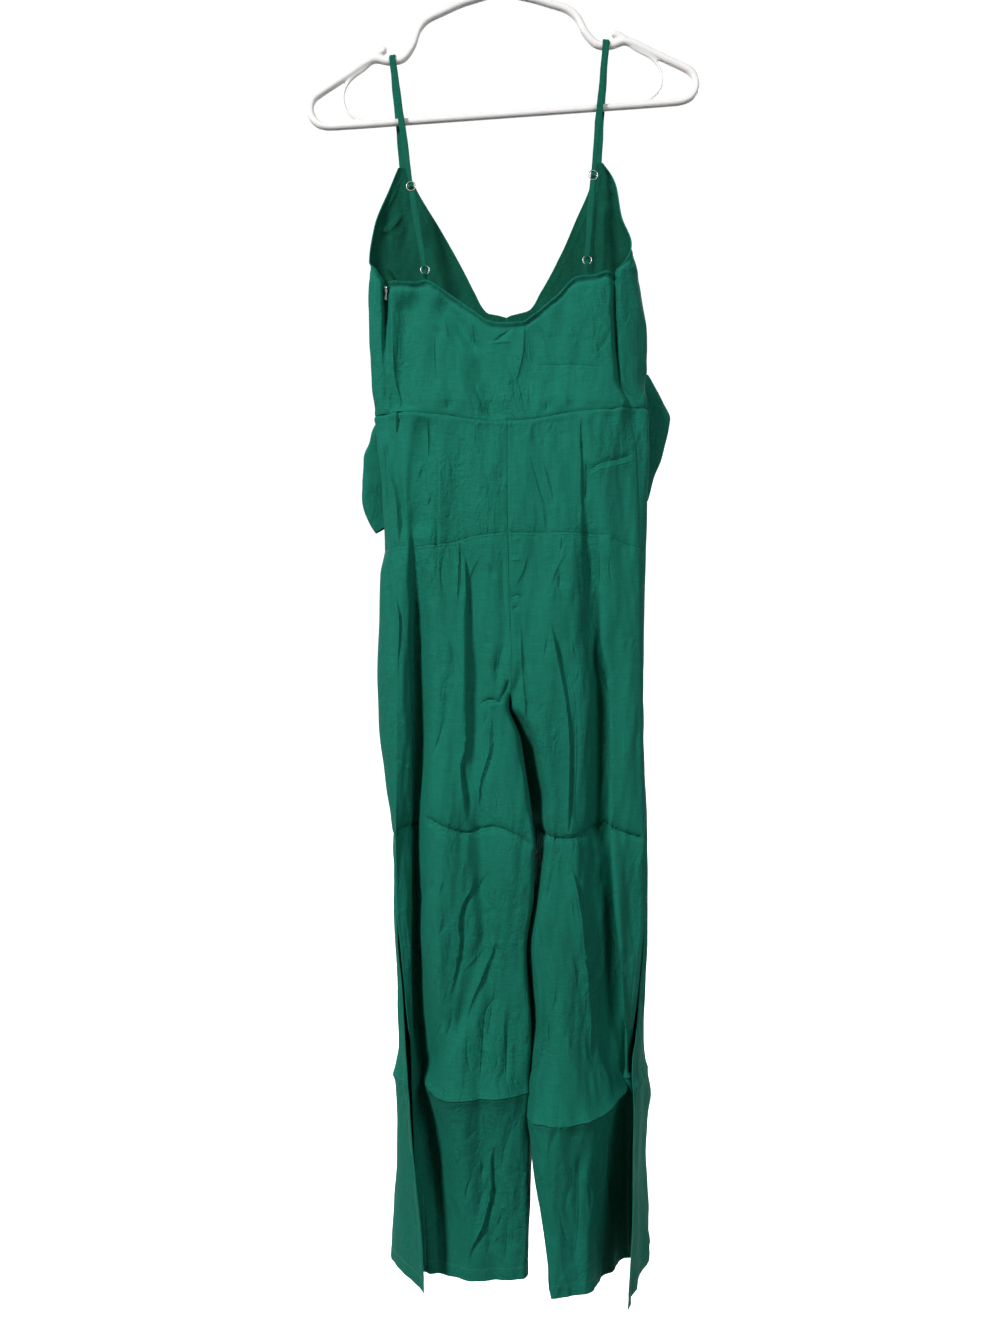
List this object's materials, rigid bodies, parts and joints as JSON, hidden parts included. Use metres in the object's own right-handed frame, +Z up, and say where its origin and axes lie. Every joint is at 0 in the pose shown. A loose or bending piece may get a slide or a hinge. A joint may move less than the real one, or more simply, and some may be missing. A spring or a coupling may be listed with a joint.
{
  "type": "jumpsuit on a hanger",
  "caption": "Sleeveless wide-leg jumpsuit in green viscose, hung by adjustable straps on a white moulded hanger with its back to the viewer and a bow tied at the front waist.",
  "frame": {"origin": "the inner top of the hanger's hook, on the middle line of the rail side, where a rail carries it", "axes": "+Z up, +X towards the wearer's right, -Y the way the garment's back faces"},
  "size_m": [0.4289, 0.1464, 1.4838],
  "materials": {
    "green_viscose": "soft plain weave with a slight sheen",
    "silver_metal": "polished",
    "pale_enamel": "satin",
    "white_plastic": "semi-gloss"
  },
  "bodies": {
    "jumpsuit": {"back_bodice": "green_viscose", "front_bodice_left": "green_viscose", "back_leg_left": "green_viscose", "front_leg_left": "green_viscose", "strap_left": "green_viscose", "strap_loop_left": "green_viscose", "bow_loop_left": "green_viscose", "bow_tail_left": "green_viscose", "front_bodice_right": "green_viscose", "back_leg_right": "green_viscose", "front_leg_right": "green_viscose", "strap_right": "green_viscose", "strap_loop_right": "green_viscose", "bow_loop_right": "green_viscose", "bow_tail_right": "green_viscose", "bow_knot": "green_viscose", "slider_left": "silver_metal", "slider_right": "silver_metal", "ring_left": "silver_metal", "ring_right": "silver_metal", "zip_slider": "silver_metal", "hanger_frame": "white_plastic", "hanger_hook": "white_plastic"},
    "zip_pull": {"zip_pull": "pale_enamel"}
  },
  "joints": [
    {"name": "zip_pull_swing", "type": "hinge", "parent": "jumpsuit", "child": "zip_pull", "pos_m": [-0.113, -0.0046, -0.4075], "axis": [-1, 0, 0], "range_deg": [0, 160]}
  ]
}
